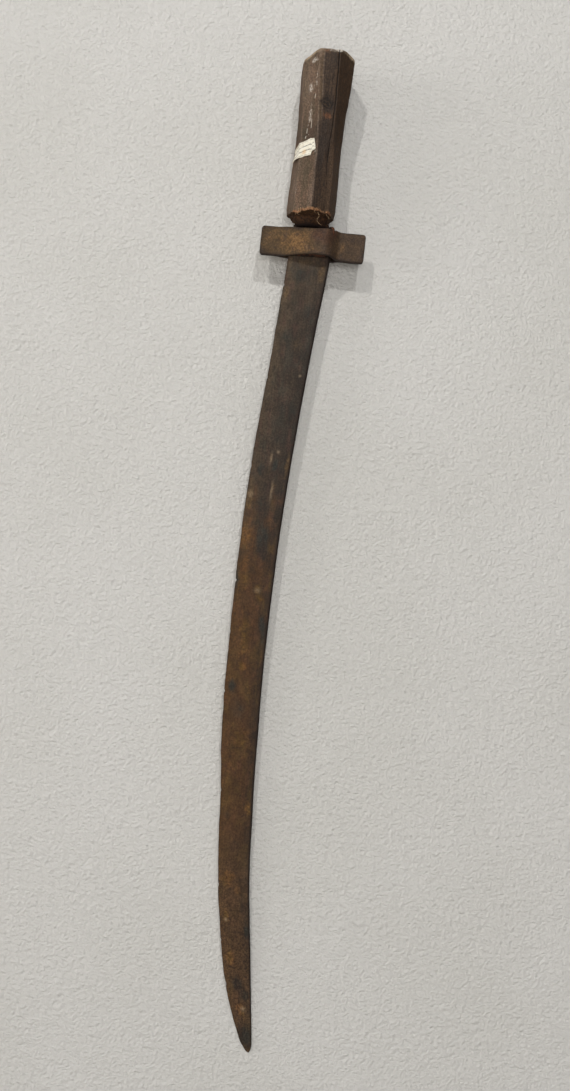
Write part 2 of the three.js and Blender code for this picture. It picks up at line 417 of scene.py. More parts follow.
def make_stage():
    """The wall, the floor, and a pale drum round everything for the other views."""
    wall = [on_wall(right, 0, up) for right, up in rectangle(*WALL_REACH)]
    add_stage("wall", wall, [(0, 1, 2, 3)], wall_material())
    floor_z = (blade_low.z - FLOOR_BELOW_TIP) * MM
    floor = [(x, y, floor_z) for x, y in rectangle(*FLOOR_REACH_M)]
    floor = add_stage("floor", floor, [(0, 1, 2, 3)], floor_material(), only_seen=False)
    turn = [2 * math.pi * step / DRUM_SIDES for step in range(DRUM_SIDES)]
    ring = [(DRUM_RADIUS_M * math.cos(a), DRUM_RADIUS_M * math.sin(a)) for a in turn]
    points = [(x, y, z) for z in (floor_z, DRUM_TOP_M) for x, y in ring]
    faces = []
    for i in range(DRUM_SIDES):
        j = (i + 1) % DRUM_SIDES
        faces.append((i, j, DRUM_SIDES + j, DRUM_SIDES + i))
    faces.append(tuple(range(2 * DRUM_SIDES - 1, DRUM_SIDES - 1, -1)))
    add_stage("backdrop", points, faces, backdrop_material())
    return floor


def add_light(name, right, off, up, width, watts, colour):
    data = bpy.data.lights.new(name, "AREA")
    data.shape = "DISK"
    data.size = width
    data.energy = watts
    data.color = colour
    made = add_object(name, data)
    made.location = on_wall(right, off, up)
    look(made, on_wall(0, 0, 0))
    return made


def make_lights(floor):
    lights = {row[0]: add_light(*row) for row in LIGHTS}
    lights["rear"].visible_glossy = False
    # The window light's lower edge is close to the floor, which it would burn out.
    unlit = bpy.data.collections.new("window_unlit")
    unlit.objects.link(floor)
    unlit.collection_objects[0].light_linking.link_state = "EXCLUDE"
    lights["window"].light_linking.receiver_collection = unlit
    world = bpy.data.worlds.new("studio")
    world.use_nodes = True
    sky = world.node_tree.nodes["Background"]
    sky.inputs["Color"].default_value = (0.95, 0.97, 1.0, 1.0)
    sky.inputs["Strength"].default_value = 0.175
    bpy.context.scene.world = world


# ------------------------------------------------------------------ blade

BLADE_ROW = 0.62  # height of a row of faces
BLADE_ACROSS = 46
EDGE_ROUND = 0.45
SPINE_ROUND = 1.0
PITS = 2200  # on each face
DEEPEST_PIT = 0.17
# Nicks in the cutting edge: share of the blade's length, depth, half width.
NICKS = [
    (0.035, 0.5, 1.2), (0.15, 0.35, 0.9), (0.262, 0.4, 1.6), (0.405, 0.75, 0.8), (0.47, 0.4, 1.4),
    (0.545, 0.5, 0.8), (0.67, 0.35, 1.1), (0.79, 0.55, 1.3), (0.86, 0.45, 0.8), (0.915, 0.6, 1.5),
]
# Patches: share of the length, share across from the edge, their radii, strength.
BLADE_OCHRE = [
    (0.018, 0.87, 0.014, 0.13, 0.9), (0.006, 0.45, 0.008, 0.3, 0.6), (0.045, 0.1, 0.01, 0.12, 0.8),
    (0.108, 0.6, 0.012, 0.25, 0.5), (0.257, 0.92, 0.016, 0.07, 1.3), (0.25, 0.48, 0.008, 0.06, 0.7),
    (0.303, 0.08, 0.018, 0.11, 1.2), (0.285, 0.62, 0.008, 0.08, 0.8), (0.33, 0.72, 0.01, 0.08, 0.6),
    (0.347, 0.12, 0.014, 0.16, 1.3), (0.39, 0.22, 0.03, 0.14, 0.7), (0.413, 0.6, 0.006, 0.1, 1.0),
    (0.425, 0.68, 0.005, 0.12, 0.9), (0.45, 0.3, 0.02, 0.12, 0.5), (0.485, 0.4, 0.025, 0.25, 0.7),
    (0.512, 0.45, 0.005, 0.1, 1.2), (0.605, 0.55, 0.02, 0.3, 0.7), (0.64, 0.3, 0.012, 0.25, 0.6),
    (0.69, 0.85, 0.012, 0.12, 1.0), (0.78, 0.3, 0.014, 0.3, 0.9), (0.797, 0.65, 0.006, 0.15, 0.7),
    (0.83, 0.22, 0.01, 0.12, 1.1), (0.88, 0.28, 0.012, 0.22, 1.0), (0.945, 0.5, 0.008, 0.25, 1.3),
]
BLADE_DARK = [
    (0.022, 0.4, 0.01, 0.2, 0.9), (0.068, 0.75, 0.014, 0.2, 0.9), (0.098, 0.3, 0.008, 0.14, 0.7),
    (0.122, 0.72, 0.01, 0.15, 0.7), (0.147, 0.3, 0.01, 0.2, 0.6), (0.185, 0.6, 0.012, 0.3, 0.7),
    (0.2, 0.85, 0.01, 0.15, 1.0), (0.225, 0.6, 0.015, 0.35, 0.6), (0.265, 0.27, 0.009, 0.12, 1.2),
    (0.262, 0.62, 0.014, 0.1, 1.2), (0.31, 0.4, 0.02, 0.2, 0.8), (0.35, 0.56, 0.018, 0.17, 1.4),
    (0.37, 0.66, 0.01, 0.12, 0.8), (0.405, 0.03, 0.025, 0.06, 0.9), (0.455, 0.82, 0.012, 0.12, 1.0),
    (0.48, 0.9, 0.02, 0.1, 0.7), (0.537, 0.2, 0.009, 0.13, 1.0), (0.565, 0.4, 0.02, 0.35, 0.6),
    (0.7, 0.22, 0.008, 0.15, 0.6), (0.74, 0.5, 0.015, 0.3, 0.5), (0.815, 0.8, 0.02, 0.2, 0.6),
    (0.847, 0.9, 0.01, 0.1, 1.3), (0.912, 0.45, 0.01, 0.25, 1.0), (0.927, 0.7, 0.01, 0.3, 0.8),
    (0.98, 0.5, 0.02, 0.8, 1.1),
]
BLADE_PALE = [
    (0.145, 0.82, 0.0013, 0.03, 1.0), (0.241, 0.63, 0.0018, 0.03, 1.0),
    (0.25, 0.48, 0.006, 0.025, 0.9), (0.29, 0.62, 0.011, 0.025, 0.9),
    (0.296, 0.1, 0.004, 0.06, 0.7), (0.415, 0.6, 0.003, 0.08, 0.6),
    (0.833, 0.21, 0.0022, 0.05, 1.0), (0.945, 0.6, 0.003, 0.12, 0.9),
]
BLADE_PATCHES = (BLADE_OCHRE, BLADE_DARK, BLADE_PALE)


def blade_slices(cad):
    """Heights of the blade's rows, how many of them are below the tang, and x of its cutting
    edge and of its spine in each."""
    shoulder = GUARD_TOP
    full = np.subtract(*cad.sides(shoulder))
    while np.subtract(*cad.sides(shoulder)) / full > 0.75:
        shoulder += 0.25
    rows = int((shoulder - blade_low.z) / BLADE_ROW)
    body = np.linspace(blade_low.z + 0.15, shoulder - 0.3, rows)
    tang = np.linspace(shoulder + 0.3, grip_low.z + 25, 40)
    heights = np.concatenate([body, tang])
    return heights, rows, np.array([cad.sides(z) for z in heights])


def blade_thickness(cad, heights, sides, share):
    """Half the blade's thickness at each height and share across."""
    inset = 0.05
    probe = sides[:, :1] + inset + (sides[:, 1:] - sides[:, :1] - 2 * inset) * share
    half = np.empty_like(probe)
    for (i, j), x in np.ndenumerate(probe):
        hit = cad.hit((x, blade_low.y - FAR, heights[i]), (0, 1, 0))
        half[i, j] = 0.2 if hit is None else MID_Y - hit[1]
    # The forged bevel has no crisp line.
    for _ in range(3):
        half[:, 1:-1] = (half[:, :-2] + 2 * half[:, 1:-1] + half[:, 2:]) / 4
    return half


def scatter_pits(grid_x, grid_z, seed, weight):
    """Depth of rust pits over one face of the blade, more of them where weight is high."""
    random = np.random.default_rng(seed)
    depth = np.zeros_like(grid_x)
    rows = len(grid_z)
    placed = 0
    while placed < PITS:
        row = int(random.integers(2, rows - 2))
        column = int(random.integers(1, grid_x.shape[1] - 1))
        if random.random() > weight[row, column]:
            continue
        placed += 1
        radius = random.uniform(0.35, 0.75) * random.uniform(1.0, 1.7)
        reach = int(2.2 * radius / BLADE_ROW) + 1
        low, high = max(0, row - reach), min(rows, row + reach + 1)
        across = grid_x[low:high] - grid_x[row, column]
        along = (grid_z[low:high] - grid_z[row])[:, None]
        spread = np.sqrt(across**2 + (along * random.uniform(0.6, 1.1)) ** 2)
        dent = random.uniform(0.05, DEEPEST_PIT) * hump(spread, radius)
        depth[low:high] = np.maximum(depth[low:high], dent)
    return depth


def build_blade():
    cad = Cad("blade")
    heights, body_rows, sides = blade_slices(cad)
    on_blade = (np.arange(len(heights)) < body_rows).astype(float)
    from_tip = heights - heights[0]
    tapered = np.clip(from_tip / 12, 0, 1)
    line = xyz(0, 0, heights)
    wobble = rough(line, 34, seed=5) * 0.3 + rough(line, 6, seed=9) * 0.1
    along = (GUARD_BOTTOM - heights) / BLADE_LENGTH
    nicks = sum(depth * hump((along - at) * BLADE_LENGTH, half) for at, depth, half in NICKS)
    left = (sides[:, 0] + (wobble * tapered + nicks) * on_blade)[:, None]
    right = (sides[:, 1] + rough(line, 45, seed=21) * 0.22 * tapered * on_blade)[:, None]

    # Shares across the blade, closer together at the edge and at the spine.
    share = 0.5 - 0.5 * np.cos(np.pi * (0.06 + 0.88 * np.linspace(0, 1, BLADE_ACROSS)))
    share = (share - share[0]) / (share[-1] - share[0])
    x = left + (right - left) * share
    half = blade_thickness(cad, heights, sides, share)
    from_edge, from_spine = x - left, right - x
    rounding = quarter_round(from_edge, EDGE_ROUND) * quarter_round(from_spine, SPINE_ROUND)
    # The edges, the tip and the tang keep their shape.
    keep = np.clip(np.minimum(from_edge, from_spine) / 1.2, 0, 1) * on_blade[:, None]
    keep = keep * np.clip(from_tip / 6, 0, 1)[:, None] * np.clip(half, 0.3, 1.0)

    z = heights[:, None] + 0 * x
    along = along[:, None] + 0 * x
    ochre, dark, pale = (patches(spots, along, share) for spots in BLADE_PATCHES)
    eaten = np.clip(0.16 + 0.5 * ochre + smooth(0.74, 0.9, along) * 0.8, 0, 1)

    def face(side, seed):
        """How far one face stands out from the blade's middle, and its pits."""
        points = xyz(x, side * 90.0, z)
        hammered = noise(points, (11, 11, 17), seed) * 0.13
        hammered = hammered + noise(points, (5, 5, 8), seed + 1) * 0.05
        scaly = rough(points, 1.9, seed + 2, octaves=2) * 0.028 * (0.4 + eaten)
        pits = scatter_pits(x, heights, seed, eaten)
        return np.maximum(half * rounding + (hammered + scaly - pits) * keep, 0.0), pits

    def ring(front, back):
        """The back face from spine to edge, then the front face from edge to spine."""
        return np.concatenate([back[:, ::-1], front[:, 1:-1]], 1)

    (front_out, front_pits), (back_out, back_pits) = face(-1, 31), face(1, 57)
    middle = MID_Y + noise(line, 120, seed=70)[:, None] * 0.35 * np.clip(along * 3, 0, 1)
    rings = xyz(ring(x, x), ring(middle - front_out, middle + back_out), ring(z, z))
    values = {
        "along": ring(along, along),
        "across": ring(share + 0 * x, share + 0 * x),
        "pits": ring(front_pits, back_pits) / DEEPEST_PIT,
        "ochre": ring(ochre, ochre[:, ::-1] * 0.8),
        "dark": ring(dark, dark),
        "pale": ring(pale, pale * 0.6),
        # soot marks the tang above the guard: partly soot, partly painted shade under the grip's
        # end.
        "soot": smooth(GUARD_TOP - 1, GUARD_TOP + 3, rings[..., 2]),
    }
    blade = loft("blade_forged", rings, values, sharp=50)
    place(blade, blade_material(), "blade_iron", "blade")


def blade_material():
    s = Shader("blade_iron")
    clouds = s.noise((8.0, 8.0, 13.0), detail=6.0, roughness=0.62)
    mottle = s.noise(3.4, detail=5.0, roughness=0.65, seed=9.0)
    rusty = s.noise((5.5, 5.5, 14.0), detail=5.0, roughness=0.6, seed=23.0)
    green = s.noise((6.5, 6.5, 15.0), detail=4.0, roughness=0.6, seed=29.0)
    grains = s.noise(1.3, detail=4.0, roughness=0.65, seed=2.0)
    brushed = s.noise((1.0, 1.0, 12.0), detail=4.0, roughness=0.6, seed=37.0)
    # Grey scale in the upper third turns to brown lower down.
    lower = s.ramp(s.plus("along", s.times(clouds, 0.35)), 0.42, 0.58)
    s.colour = s.mix(lower, (60, 49, 39), (72, 49, 29))
    edge_side = s.mix(lower, (76, 63, 49), (83, 58, 33))
    s.paint(s.ramp("across", 0.05, 0.5, 0.9, 0.0), edge_side)
    spine_side = s.mix(lower, (50, 41, 33), (55, 40, 27))
    s.paint(s.ramp("across", 0.62, 0.88), spine_side)
    s.paint(s.ramp("along", 0.02, 0.1, 0.25, 0.0), (90, 74, 56))
    red_brown = s.mix(lower, (78, 56, 47), (86, 57, 38))
    s.paint(s.ramp(rusty, 0.48, 0.66, 0.0, 0.5), red_brown)
    olive = s.mix(lower, (59, 56, 47), (82, 62, 32))
    s.paint(s.ramp(green, 0.48, 0.66, 0.0, 0.5), olive)
    s.paint(s.ramp("along", 0.68, 0.8, 0.0, 0.4), (82, 64, 47))
    broken = s.times(mottle, 0.9)
    rust = s.ramp(s.plus("ochre", broken), 0.7, 1.5)
    gold = s.mix(s.ramp(green, 0.4, 0.6), (110, 76, 45), (103, 77, 40))
    gold = s.mix(lower, (100, 80, 57), gold)
    s.paint(s.times(rust, 0.75), gold)
    dark = s.ramp(s.plus("dark", broken), 0.7, 1.45)
    soot = s.mix(s.ramp(rusty, 0.42, 0.56), (46, 46, 41), (50, 40, 33))
    s.paint(s.times(dark, 0.85), soot)
    specks = s.ramp(s.noise(1.8, detail=4.0, roughness=0.7, seed=6.0), 0.6, 0.7, 0.0, 0.3)
    s.paint(specks, s.mix(lower, (94, 76, 58), (106, 77, 46)))
    s.shade(clouds, 0.86, 1.12)
    s.shade(mottle, 0.9, 1.1)
    s.shade(brushed, 0.88, 1.12)
    strong = s.varied(grains, 0.6, 1.42)
    weak = s.varied(grains, 0.76, 1.24)
    s.colour = s.mix(s.ramp("along", 0.7, 0.85), weak, strong)
    pale = s.times("pale", s.ramp(grains, 0.3, 0.6, 0.5, 1.0), clamp=True)
    s.paint(s.times(pale, 0.75), (156, 134, 108))
    s.paint(s.ramp("pits", 0.2, 0.9, 0.0, 0.45), (44, 34, 27))
    # Painted shade: the spine's rounded corner is darkened nearly to black, as if it lay in shadow.
    s.paint(s.ramp("across", 0.9, 0.975, 0.0, 0.85), (34, 25, 20))
    s.paint(s.ramp("across", 0.0, 0.03, 0.5, 0.0), (46, 36, 28))
    # Painted shade on the tang in the gap under the grip, over its soot.
    s.paint(s.times("soot", 0.9), (26, 18, 14))
    roughness = s.plus(s.ramp(mottle, 0.3, 0.7, 0.5, 0.66), s.times(rust, 0.2))
    height = s.average(mottle, grains)
    return s.finish(roughness, height, depth=0.3, specular=0.2)


# ------------------------------------------------------------------ crossguard

STRIP_COLUMNS = 190
STRIP_FACE = 34  # points up each face of a strip
STRIP_ARC = 5  # points round each long edge
CORNER_ROUND = 2.2
GUARD_SLANT = 0.0105  # the guard sits a little crooked on the blade


def rounded_profile(half_high, half_thick, radius):
    """Points (up, out) round a rounded rectangle: front face up, over the top, down the back.
    The three sizes are arrays with one number per column."""
    flat = np.linspace(-1, 1, STRIP_FACE)
    arc = np.linspace(0, np.pi / 2, STRIP_ARC + 2)[1:-1]
    radius = np.minimum(radius, np.minimum(half_high, half_thick) * 0.98)[:, None]
    tall, thick = half_high[:, None], half_thick[:, None]
    straight = tall - radius
    up = [
        flat * straight,
        straight + radius * np.sin(arc),
        straight + radius * np.cos(arc),
        -flat * straight,
        -straight - radius * np.sin(arc),
        -straight - radius * np.cos(arc),
    ]
    out = [
        thick + 0 * flat,
        thick - radius + radius * np.cos(arc),
        -thick + radius - radius * np.sin(arc),
        -thick + 0 * flat,
        -thick + radius - radius * np.cos(arc),
        thick - radius + radius * np.sin(arc),
    ]
    return np.concatenate(up, 1), np.concatenate(out, 1)


# Rubbed golden and red-brown places, and dark places (the first one painted shade on the step):
# share of the half span from the middle, share of the half height from the middle, their radii,
# strength.
GUARD_GOLD = [
    (-0.34, -0.05, 0.17, 0.7, 0.65), (-0.15, -0.3, 0.14, 0.6, 0.6), (-0.22, 0.5, 0.15, 0.4, 0.4),
    (-0.58, 0.1, 0.14, 0.7, 0.4), (0.05, -0.75, 0.12, 0.25, 0.45), (-0.82, 0.2, 0.12, 0.5, 0.35),
    (0.57, -0.1, 0.05, 0.35, 0.55),
]
GUARD_RED = [
    (0.1, 0.5, 0.17, 0.55, 1.0), (0.3, 0.1, 0.12, 0.9, 0.6), (0.4, 0.85, 0.06, 0.4, 1.0),
]
GUARD_DARK = [
    # The first dark place is painted shade on the step, where the strip turns away from the light.
    (0.42, 0.0, 0.05, 1.3, 0.5), (0.12, 0.95, 0.16, 0.3, 0.5), (0.56, 0.6, 0.05, 0.4, 0.6),
    (-0.95, -0.9, 0.2, 0.5, 0.8), (-0.5, 0.95, 0.3, 0.25, 0.5), (0.3, -1.0, 0.4, 0.25, 0.6),
    (0.72, 0.55, 0.12, 0.4, 0.6), (1.0, -0.6, 0.16, 0.8, 0.8), (-1.0, 0.9, 0.12, 0.5, 0.7),
    (-0.3, 1.0, 0.1, 0.25, 0.7), (-0.62, -0.9, 0.1, 0.25, 0.6),
]
GUARD_PATCHES = (GUARD_GOLD, GUARD_RED, GUARD_DARK)
# The curl of scrap: right of, behind and above the top of the guard's middle, and its radius.
FLAKE = [
    (9.6, -6.6, 0.7, 0.4), (11.4, -7.4, 0.9, 0.7), (12.9, -7.9, 0.3, 0.95),
    (13.7, -7.8, -1.6, 0.85), (14.0, -7.5, -4.2, 0.4),
]


def ease(line, share):
    """The line with its corners rounded off: a little everywhere, and much where share is 1."""
    little = line
    for turn in range(260):
        smoother = line.copy()
        smoother[1:-1] = (line[:-2] + 2 * line[1:-1] + line[2:]) / 4
        line = smoother
        if turn == 14:
            little = line
    return little * (1 - share) + line * share


def build_strip(node, side, seed):
    """One of the guard's strips. side is -1 in front of the blade and 1 behind it."""
    cad = Cad(node)
    low, high = cad.low, cad.high
    mid_z = (low.z + high.z) / 2
    half_span = (high.x - low.x) / 2
    # Columns are closer together at the ends.
    even = np.linspace(-1, 1, STRIP_COLUMNS)
    spread = 0.75 * even + 0.25 * np.sin(even * np.pi / 2)
    from_middle = spread * (half_span - 0.02)
    x = GUARD_X + from_middle
    # The smith bent the strip gently on the left and more sharply on the right.
    gentle = smooth(9, -2, from_middle)
    front, back = (ease(face, gentle) for face in cad.depths(x, mid_z))
    middle = (front + back) / 2
    from_end = half_span - np.abs(from_middle)
    half_thick = (back - front) / 2 * (quarter_round(from_end, 0.9) * 0.85 + 0.15)
    bulging = smooth(3.0, 7.0, np.abs(middle - MID_Y))
    line = xyz(x, side * 30.0, 0)
    corner = CORNER_ROUND * (1 - quarter_round(from_end, CORNER_ROUND))
    half_high = (high.z - low.z) / 2 - corner - 0.75 * bulging
    half_high += noise(line, 9, seed) * 0.16 + noise(line, 3, seed + 1) * 0.06
    lift = GUARD_SLANT * from_middle + noise(line, 14, seed + 2) * 0.15
    radius = 0.72 + 0.22 * noise(line, 7, seed + 3) + 0.5 * bulging
    up, out = rounded_profile(half_high, half_thick, radius)
    half_thick, half_high = half_thick[:, None], half_high[:, None]

    points = xyz(x[:, None], side * 40 - side * out, up)
    dents = noise(points, (7.5, 7.5, 6.0), seed + 4) * 0.2
    dents = dents + noise(points, (2.6, 2.6, 2.2), seed + 5) * 0.06
    grit = rough(points, 1.1, seed + 6, octaves=2) * 0.03
    is_outer = np.clip(out / np.maximum(half_thick, 1e-6), 0, 1)
    calm = np.clip(from_end / 2.5, 0.15, 1)[:, None]
    out = out + (dents - 0.12 + grit) * is_outer * calm
    rings = xyz(x[:, None], middle[:, None] + side * out, mid_z + lift[:, None] + up)
    along, height = (from_middle / half_span)[:, None], up / half_high
    gold, red, dark = (patches(spots, along, height) for spots in GUARD_PATCHES)
    values = {
        # worn darkens the rounded ends and long edges: painted shade on the ends and the bottom
        # edge, grime along the top edge.
        "worn": np.maximum(np.clip(np.abs(height), 0, 1) ** 14, hump(from_end, 1.3)[:, None]),
        "right": smooth(-0.15, 0.15, along) + 0 * up,
        "gold": gold,
        "red": red,
        "dark": dark,
        # under marks the underside, which is painted darker as shade.
        "under": smooth(0.85, 1.0, -height),
    }
    if side > 0:
        rings = rings[:, ::-1]
        values = {key: grid[:, ::-1] for key, grid in values.items()}
    return loft(node + "_forged", rings, values, sharp=60)


def build_packing(node, seed):
    """A slip of scrap iron driven between the blade and a strip."""
    cad = Cad(node)
    mid_z = (cad.low.z + cad.high.z) / 2
    x = np.linspace(cad.low.x + 0.1, cad.high.x - 0.1, 60)
    front, back = cad.depths(x, mid_z)
    tall = (cad.high.z - cad.low.z) / 2 + noise(xyz(x, 0, 0), 4, seed) * 0.25
    up, out = rounded_profile(tall, (back - front) / 2, np.full_like(x, 0.5))
    x = x[:, None]
    up = up * (1 + 0.02 * rough(xyz(x, out, up), (1.4, 0.9, 1.4), seed + 1))
    y = ((front + back) / 2)[:, None] - out
    z = mid_z + GUARD_SLANT * (x - GUARD_X) + up
    return loft(node + "_forged", xyz(x, y, z), sharp=60)


def guard_material():
    s = Shader("guard_iron")
    clouds = s.noise(7.0, detail=5.0, roughness=0.6)
    mottle = s.noise(2.4, detail=6.0, roughness=0.7, seed=3.0)
    grains = s.noise(1.2, detail=4.0, roughness=0.7, seed=8.0)
    s.colour = s.mix("right", (85, 65, 41), (78, 60, 43))
    broken = s.plus(s.times(clouds, 0.4), s.times(mottle, 0.3))
    gold = s.ramp(s.plus("gold", broken), 0.45, 1.25)
    s.paint(gold, (115, 85, 52))
    red = s.ramp(s.plus("red", broken), 0.5, 1.2)
    s.paint(s.times(red, 0.85), (76, 51, 36))
    # Dark places: grime, and painted shade on the step right of the middle.
    dark = s.ramp(s.plus("dark", broken), 0.5, 1.3)
    s.paint(s.times(dark, 0.8), (58, 45, 35))
    violet = s.ramp(s.noise(4.5, detail=4.0, seed=12.0), 0.54, 0.64, 0.0, 0.45)
    s.paint(violet, (70, 55, 47))
    specks = s.ramp(s.noise(1.1, detail=4.0, roughness=0.7, seed=5.0), 0.6, 0.72, 0.0, 0.3)
    s.paint(specks, (118, 90, 56))
    s.shade(clouds, 0.86, 1.12)
    s.shade(mottle, 0.8, 1.18)
    s.shade(grains, 0.68, 1.3)
    # Painted shade on the rounded ends and bottom edge, with grime along the top edge.
    s.paint(s.times("worn", 0.6), (44, 33, 26))
    # Painted shade on the underside, which faces away from the light above.
    s.paint(s.times("under", 0.6), (42, 31, 24))
    roughness = s.ramp(mottle, 0.3, 0.7, 0.52, 0.72)
    height = s.average(mottle, grains)
    return s.finish(roughness, height, depth=0.5)


def packing_material():
    s = Shader("packing_iron")
    mottle = s.noise(1.4, detail=6.0, roughness=0.7)
    s.colour = s.mix(s.ramp(mottle, 0.3, 0.7), (54, 35, 26), (104, 64, 44))
    s.paint(s.ramp(s.noise(4.0, seed=4.0), 0.45, 0.62), (38, 28, 22))
    return s.finish(s.ramp(mottle, 0.3, 0.7, 0.7, 0.92), mottle, depth=0.25)


def add_wire(name, points, radii):
    """A thin round piece through points, in millimetres, with a radius at each."""
    curve = bpy.data.curves.new(name, "CURVE")
    curve.dimensions = "3D"
    curve.bevel_depth = MM
    curve.bevel_resolution = 2
    curve.use_fill_caps = True
    spline = curve.splines.new("BEZIER")
    spline.bezier_points.add(len(points) - 1)
    for bend, point, radius in zip(spline.bezier_points, points, radii):
        bend.co = Vector(point) * MM
        bend.handle_left_type = bend.handle_right_type = "AUTO"
        bend.radius = radius
    return add_object(name, curve)


def build_flake():
    """A curl of rusty scrap squeezed out over the front strip's top right corner."""
    points = [(GUARD_X + x, MID_Y + y, GUARD_TOP + z) for x, y, z, _ in FLAKE]
    return add_wire("rust_curl", points, [radius for *_, radius in FLAKE])


def build_guard():
    iron, scrap = guard_material(), packing_material()
    for node, side, seed in (("guard_front_strip", -1, 101), ("guard_back_strip", 1, 141)):
        place(build_strip(node, side, seed), iron, "guard_iron", node)
    for node, seed in (("packing_front", 7), ("packing_back", 8)):
        place(build_packing(node, seed), scrap, "packing_iron", node)
    place(build_flake(), scrap, "packing_iron")


# ------------------------------------------------------------------ grip

GRIP_ROW = 0.43
GRIP_RADIUS = 17.0  # a usual one, for distances round the grip
FINE_TO = 78.0  # degrees from the front within which the grip's points are close together
SOCKET_DEEP = 15.0
SOCKET_HALF = (11.4, 6.4)  # half its width and half its depth
POMMEL_RISE = 1.9
# Rings in over the pommel end: share of the radius, share of the rise.
POMMEL_RINGS = [
    (0.993, 0.35), (0.975, 0.6), (0.93, 0.78), (0.8, 0.86), (0.6, 0.9), (0.35, 0.92), (0.12, 0.92),
]
# Round the grip, angles count in degrees from the front, positive towards the right, and
# shares count from the guard end to the pommel end.
FRONT_RIDGE = [(0.0, 0.5), (0.35, -1.5), (0.6, -9.0), (0.83, -17.0), (1.0, -19.0)]
CAD_RIDGE_TURNS = -15.0
NARROW_FACET_TURN = 14.6  # its middle, from the front ridge
NARROW_FACET_DEEP = 0.9465  # its distance from the axis against the ridge's
CRACK = [(0.2, 33), (0.29, 29.5), (0.4, 29.2), (0.49, 31), (0.67, 31), (0.85, 25), (1.0, 21.5)]
# The pommel end's height against its middle: distance to the right of the axis, height.
POMMEL_EDGE = [
    (-19, -4.6), (-17.2, -3.3), (-12.9, -2.0), (-8.8, 0.3), (-6.3, 0.7), (0.3, 1.3), (4.5, 1.2),
    (8, 2.0), (11.5, 3.2), (14.4, 2.8), (18.5, 1.2), (21, 0.6),
]
# How far the torn rim at the guard end hangs down: degrees from the front, height.
TORN_RIM = [
    (-88, 0), (-58, 0.2), (-44, -0.3), (-34, -2.2), (-25, -0.5), (-16, -0.9), (1, 0.5), (21, 0.8),
    (33, -0.1), (59, 1.1), (85, 0.2),
]
KNOT = (0.668, 10.0)
# Light, dark and orange patches: share of the length, degrees, their radii, strength.
GRIP_LIGHT = [
    (0.8, -46, 0.2, 26, 0.9), (0.18, -62, 0.2, 22, 1.0), (0.1, -5, 0.09, 6, 0.8),
    (0.97, -18, 0.04, 7, 0.9), (0.35, -4, 0.1, 3, 0.5),
]
GRIP_DARK = [
    (0.46, -25, 0.1, 35, 0.8), (0.3, 8, 0.1, 9, 1.0), (0.5, 14, 0.2, 14, 0.9),
    (0.88, 6, 0.07, 12, 0.5), (0.668, 10, 0.032, 18, 1.2),
]
GRIP_ORANGE = [
    (0.595, 12, 0.036, 20, 0.62), (0.59, 17, 0.02, 8, 0.3), (0.965, -4, 0.02, 17, 0.7),
    (0.006, 5, 0.02, 30, 0.95), (0.004, -42, 0.016, 24, 0.85), (0.006, 55, 0.022, 18, 0.95),
    (0.83, 40, 0.05, 9, 0.4),
]
# Pale flecks of dust and plaster that have caught in the grain.
GRIP_DUST = [
    (0.968, 4, 0.012, 22, 1.15), (0.97, 25, 0.01, 8, 1.5), (0.92, -32, 0.04, 12, 1.25),
    (0.76, -34, 0.05, 12, 1.05), (0.83, -20, 0.1, 5, 1.0), (0.6, -30, 0.1, 8, 1.0),
    (0.36, -6, 0.07, 7, 1.05), (0.12, -44, 0.1, 6, 0.9), (0.5, -50, 0.3, 20, 0.75),
]
SCRATCHES = [
    [(0.945, -34.0), (0.935, -33.0)],
    [(0.94, -23.0), (0.937, -21.0)],
    [(0.776, -26.0), (0.748, -24.8)],
    [(0.785, -19.8), (0.764, -19.2)],
    [(0.715, -20.5), (0.688, -22.0)],
    [(0.748, -46.0), (0.745, -29.5)],
    [(0.675, -43.8), (0.675, -31.0)],
    [(0.634, -32.8), (0.628, -32.8)],
    [(0.597, -25.8), (0.54, -24.8), (0.487, -25.0), (0.451, -37.0)],
    [(0.544, -32.5), (0.51, -35.8), (0.475, -36.0), (0.448, -40.0)],
]


def grip_axis(z):
    """x of the grip's axis at height z, along the straight line between its end sections."""
    share = np.clip((z - grip_low.z) / GRIP_LENGTH, 0, 1)
    return GRIP_AXIS_ENDS[0] + (GRIP_AXIS_ENDS[1] - GRIP_AXIS_ENDS[0]) * share


GRIP_CAD = Cad("grip")
# x of the grip's axis near its two ends.
GRIP_AXIS_ENDS = [sum(GRIP_CAD.sides(z)) / 2 for z in (grip_low.z + 2, grip_high.z - 6)]
def around_grip():
    """Angles in degrees from the front, close together where the camera and the cracks are."""
    fine = np.arange(-FINE_TO, FINE_TO, 1.0)
    coarse = np.arange(FINE_TO, 360 - FINE_TO, 3.0)
    return np.concatenate([fine, coarse])


def distance_to_line(stations, share, angle):
    """Millimetres, round and along the grip, from each point to a line of (share, degrees)."""
    along, across = share * GRIP_LENGTH, np.radians(angle) * GRIP_RADIUS
    best = 1e9
    for (s0, a0), (s1, a1) in zip(stations, stations[1:]):
        start = np.array([s0 * GRIP_LENGTH, math.radians(a0) * GRIP_RADIUS])
        run = np.array([s1 * GRIP_LENGTH, math.radians(a1) * GRIP_RADIUS]) - start
        up, right = along - start[0], across - start[1]
        t = np.clip((up * run[0] + right * run[1]) / (run @ run), 0, 1)
        best = np.minimum(best, np.hypot(up - t * run[0], right - t * run[1]))
    return best


def signed(angle):
    """Degrees brought to the range from -180 to 180."""
    return (angle + 180) % 360 - 180


def round_points(turn, height):
    """Places on a cylinder of the grip's usual radius, for reading noise."""
    return xyz(np.sin(turn) * GRIP_RADIUS, -np.cos(turn) * GRIP_RADIUS, height)


